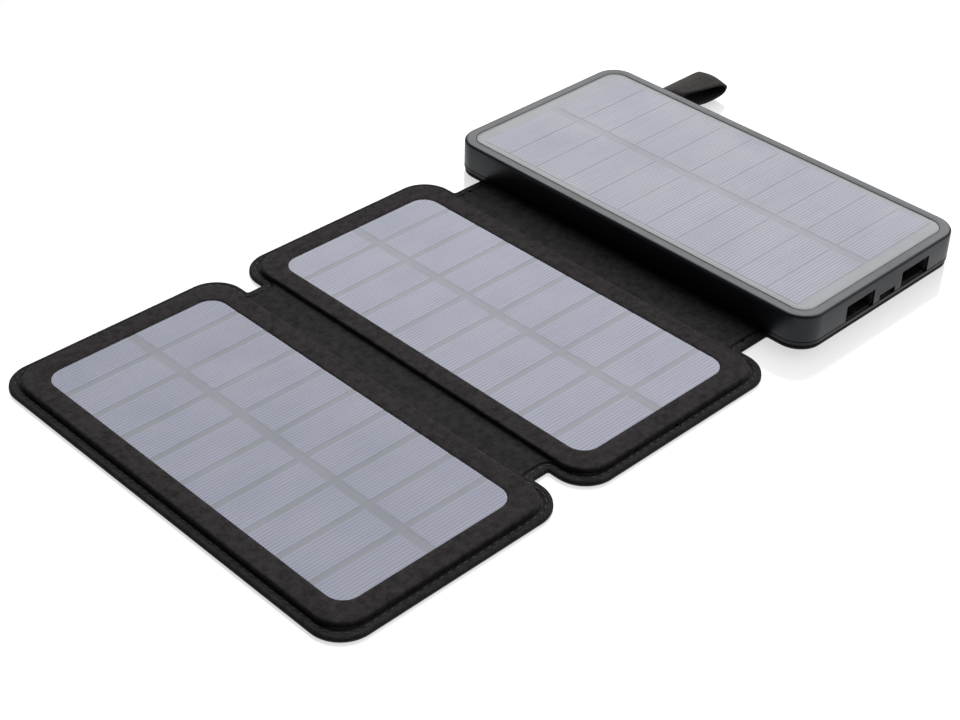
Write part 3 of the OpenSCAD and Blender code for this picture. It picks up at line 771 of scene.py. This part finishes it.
def make_glass():
    """The power bank's own solar panel: a thick sheet with a soft edge, and the cells printed on it."""
    w, l = GLASS[1].x - GLASS[0].x, GLASS[1].y - GLASS[0].y
    top, soft = GLASS[1].z, 0.12 * MM
    profile = [(0.5 * MM, GLASS[0].z), (0, GLASS[0].z), (0, top - soft), (soft * 0.3, top - soft * 0.3),
               (soft, top), (1.5 * MM, top)]
    sheet = loft("glass_sheet", plate_outline(w, l, GLASS_R), profile, False, box_centre(GLASS), 50)
    dress(sheet, SLOT_MATERIALS["front_sheet"])
    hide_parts("bank_sheet")
    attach(sheet, "base")
    half_w = BANK_CELL_W + BANK_CELL_MID_GAP / 2
    half_l = BANK_CELL_ROWS * BANK_CELL_PITCH / 2
    cell_field("bank", "base", (0, 0), (-half_w, -half_l), (half_w, half_l), BANK_CELL_ROWS,
               BANK_CELL_PITCH, BANK_CELL_W, BANK_CELL_GAP, BANK_CELL_MID_GAP, top)


def make_button():
    """Power button with a soft face, on the flange that keeps it in the case."""
    flange_x, side = BUTTON[0].x + BUTTON_FLANGE_T, BUTTON_FLANGE
    face, edge = BUTTON[1].x, 0.25 * MM
    dish_inset, dish = 0.7 * MM, 0.05 * MM
    w, h = BUTTON[1].y - BUTTON[0].y, BUTTON[1].z - BUTTON[0].z
    profile = [(0, BUTTON[0].x), (0, flange_x), (side, flange_x), (side, face - edge),
               (side + edge * 0.3, face - edge * 0.3), (side + edge, face),
               (side + dish_inset, face - dish)]
    obj = loft("button_cap", plate_outline(w, h, BUTTON_R), profile)
    y, z = (BUTTON[0].y + BUTTON[1].y) / 2, (BUTTON[0].z + BUTTON[1].z) / 2
    for v in obj.data.vertices:
        v.co = (v.co.z, y + v.co.x, z + v.co.y)
    dress(obj, SLOT_MATERIALS["button_plastic"])
    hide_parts("power_button")
    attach(obj, "button")


# ---------- strap ----------

# The band's near and far edge: distance from the strap's root along X, and height, in millimetres
STRAP_NEAR = ((0.3, 1.2), (1.4, 5.6), (2.9, 9.4), (6.4, 9.35), (13.9, 8.0), (20.5, 6.9), (24.4, 5.9),
              (26.5, 4.3), (25.7, 2.8), (23, 2.1), (16.5, 2.1), (10, 2.9), (3, 2.6), (0.4, 1.5))
STRAP_FAR = ((0.0, 1.2), (0.5, 2.6), (2.2, 4.2), (6.4, 4.7), (13, 4.8), (20, 4.8), (25.6, 4.8),
             (28.2, 4.1), (27.9, 2.3), (25.5, 1.0), (18, 0.6), (10, 0.6), (3, 0.7), (0.2, 1.0))
STRAP_CROWN = 1.5 * MM
# Share of the way round the loop over which the band bows upward
STRAP_CROWN_END = 0.66
STRAP_T = 0.8 * MM
STRAP_ROOT = 0.7 * MM
STRAP_EDGE = 0.2 * MM
STRAP_ACROSS = 12
STRAP_PER_SPAN = 7


def smooth_path(points, per_span):
    """Points on a Catmull-Rom curve through the given ones."""
    out = []
    for i in range(len(points) - 1):
        p = [Vector(points[min(max(i + k, 0), len(points) - 1)]) for k in (-1, 0, 1, 2)]
        for step in range(per_span):
            t = step / per_span
            out.append(0.5 * (2 * p[1] + (p[2] - p[0]) * t
                              + (2 * p[0] - 5 * p[1] + 4 * p[2] - p[3]) * t * t
                              + (3 * p[1] - p[0] - 3 * p[2] + p[3]) * t ** 3))
    return out + [Vector(points[-1])]


def make_strap():
    """Flat fabric band folded into a loop, twisted so that its near edge stands up."""
    near, far = smooth_path(STRAP_NEAR, STRAP_PER_SPAN), smooth_path(STRAP_FAR, STRAP_PER_SPAN)
    root_x, y0, y1 = STRAP[0].x + STRAP_ROOT, STRAP[0].y, STRAP[1].y
    verts, faces = [], []
    for i, (a, b) in enumerate(zip(near, far)):
        round_loop = i / (len(near) - 1)
        crown = STRAP_CROWN * math.sin(math.pi * min(1.0, round_loop / STRAP_CROWN_END))
        for k in range(STRAP_ACROSS + 1):
            t = k / STRAP_ACROSS
            p = a.lerp(b, t) * MM
            verts.append((root_x + p.x, y0 + (y1 - y0) * t, p.y + crown * math.sin(math.pi * t)))
    n = STRAP_ACROSS + 1
    for i in range(len(near) - 1):
        for k in range(STRAP_ACROSS):
            faces.append((i * n + k, i * n + k + 1, (i + 1) * n + k + 1, (i + 1) * n + k))
    obj = finish_mesh("strap_band", verts, faces, smooth_angle=60)
    thick = obj.modifiers.new("thickness", "SOLIDIFY")
    thick.thickness = STRAP_T
    thick.offset = 0
    edge = obj.modifiers.new("edge", "BEVEL")
    edge.width = STRAP_EDGE
    edge.segments = 2
    edge.limit_method = "ANGLE"
    apply_modifiers(obj)
    length = sum((b - a).length for a, b in zip(near, near[1:])) * MM
    dress(obj, SLOT_MATERIALS["strap_webbing"])
    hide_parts("strap_loop")
    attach(obj, "strap")


# ---------- stage ----------

FLOOR_HALF = 8
# The floor lies this far under the part, so that the two surfaces never share a plane
FLOOR_DROP = 0.03 * MM


def make_floor():
    """Pale floor with a faint gloss."""
    corners = [(x * FLOOR_HALF, y * FLOOR_HALF, 0) for x, y in ((-1, -1), (1, -1), (1, 1), (-1, 1))]
    mesh = bpy.data.meshes.new("floor")
    mesh.from_pydata(corners, [], [(0, 1, 2, 3)])
    floor = bpy.data.objects.new("floor", mesh)
    bpy.context.scene.collection.objects.link(floor)
    s = Surface("floor", Specular_IOR_Level=0.5, Emission_Color=(1, 1, 1, 1), Emission_Strength=0.62)
    haze = s.noise(3, 2)
    s.colour(haze, (0.27, 0.27, 0.27), (0.285, 0.285, 0.285))
    s.roughness(haze, 0.08, 0.12)
    mesh.materials.append(s.material)
    floor.location.z = -FLOOR_DROP
    floor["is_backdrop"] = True


CAMERA_LENS = 71.96
CAMERA_SENSOR = 36
CAMERA_PLACE = (-0.4191, -0.3216, 0.3194)
CAMERA_AIM = (-0.10698, -0.01057, 0)
CAMERA_ROLL = 1.44


def make_camera():
    """Camera at the reference view, with a slight roll. Lens and sensor are in millimetres."""
    data = bpy.data.cameras.new("camera")
    data.lens = CAMERA_LENS
    data.sensor_width = CAMERA_SENSOR
    data.clip_start = 0.01
    camera = bpy.data.objects.new("camera", data)
    bpy.context.scene.collection.objects.link(camera)
    camera.location = CAMERA_PLACE
    aim = Vector(CAMERA_AIM) - camera.location
    roll = Quaternion((0, 0, 1), math.radians(CAMERA_ROLL))
    camera.rotation_mode = "QUATERNION"
    camera.rotation_quaternion = aim.to_track_quat("-Z", "Y") @ roll
    bpy.context.scene.camera = camera


def make_soft_light(name, energy, width, azimuth, elevation):
    """A far, round, soft light; its width and direction are in degrees."""
    data = bpy.data.lights.new(name, "SUN")
    data.energy = energy
    data.angle = math.radians(width)
    lamp = bpy.data.objects.new(name, data)
    bpy.context.scene.collection.objects.link(lamp)
    around, up = math.radians(azimuth), math.radians(elevation)
    source = Vector((math.cos(up) * math.cos(around), math.cos(up) * math.sin(around), math.sin(up)))
    lamp.rotation_mode = "QUATERNION"
    lamp.rotation_quaternion = source.to_track_quat("Z", "Y")


def make_lights():
    """A very wide light from behind the power bank, a weak one on its socket side, and a pale world."""
    make_soft_light("key", 4.0, 66, 31, 50)
    make_soft_light("fill", 0.55, 48, -42, 38)
    world = bpy.data.worlds.new("studio")
    world.use_nodes = True
    world.node_tree.nodes["Background"].inputs["Color"].default_value = (0.97, 0.98, 1.0, 1)
    world.node_tree.nodes["Background"].inputs["Strength"].default_value = 0.12
    bpy.context.scene.world = world
    bpy.context.scene.view_settings.view_transform = "Standard"


def write_sizes():
    """Works out the boxes of the frame as it came and of all that is there now, but keeps them nowhere.
    """
    boxes_now = {"cad": CAD_BOX, "visual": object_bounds()}
    {k: [list(corner) for corner in box] for k, box in boxes_now.items()}


make_floor()
make_camera()
make_lights()
dress_frame()
make_cover()
make_leads()
make_stitching()
make_panel("a")
make_panel("b")
make_case()
make_glass()
make_button()
make_strap()
write_sizes()
